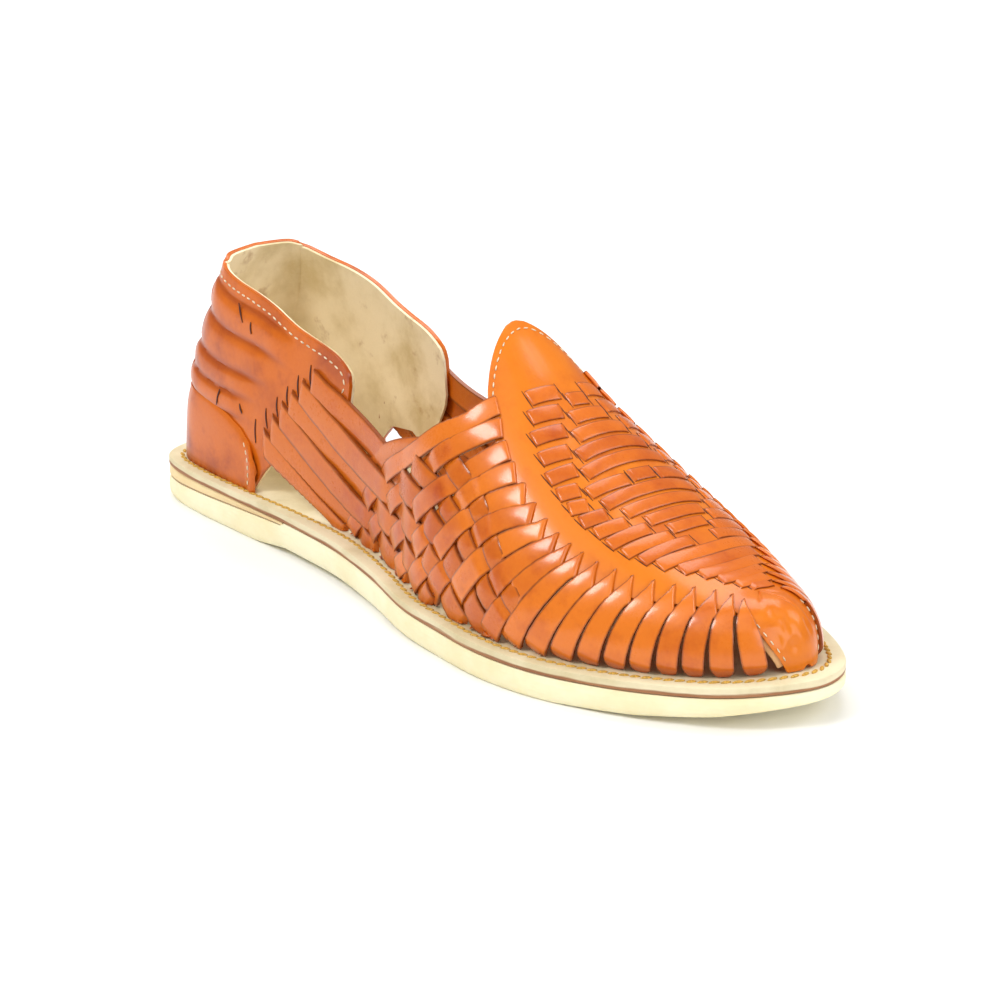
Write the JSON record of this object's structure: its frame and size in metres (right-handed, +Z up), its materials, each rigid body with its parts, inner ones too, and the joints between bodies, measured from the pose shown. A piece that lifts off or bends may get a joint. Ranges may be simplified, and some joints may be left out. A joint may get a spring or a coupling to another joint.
{
  "type": "huarache sandal",
  "caption": "Woven leather slip-on sandal with a basket-weave vamp and sides, an open collar, a smooth heel counter and a flat crepe sole.",
  "frame": {"origin": "on the floor under the middle of the shoe's length and width", "axes": "+X towards the toe, +Y towards the big-toe side, +Z up"},
  "size_m": [0.2884, 0.0985, 0.093],
  "materials": {
    "crepe": "matt pale crepe, slightly mottled",
    "wedge_rubber": "matt cream",
    "insole_leather": "undyed leather, brown burnished edge",
    "orange_leather": "waxed orange-tan leather, glossy, darker along the cut edges",
    "counter_leather": "waxed orange-tan leather, glossy"
  },
  "bodies": {
    "root": {"outsole": "crepe", "heel_wedge": "wedge_rubber", "insole": "insole_leather", "upper": "orange_leather", "heel_counter": "counter_leather"}
  },
  "joints": []
}
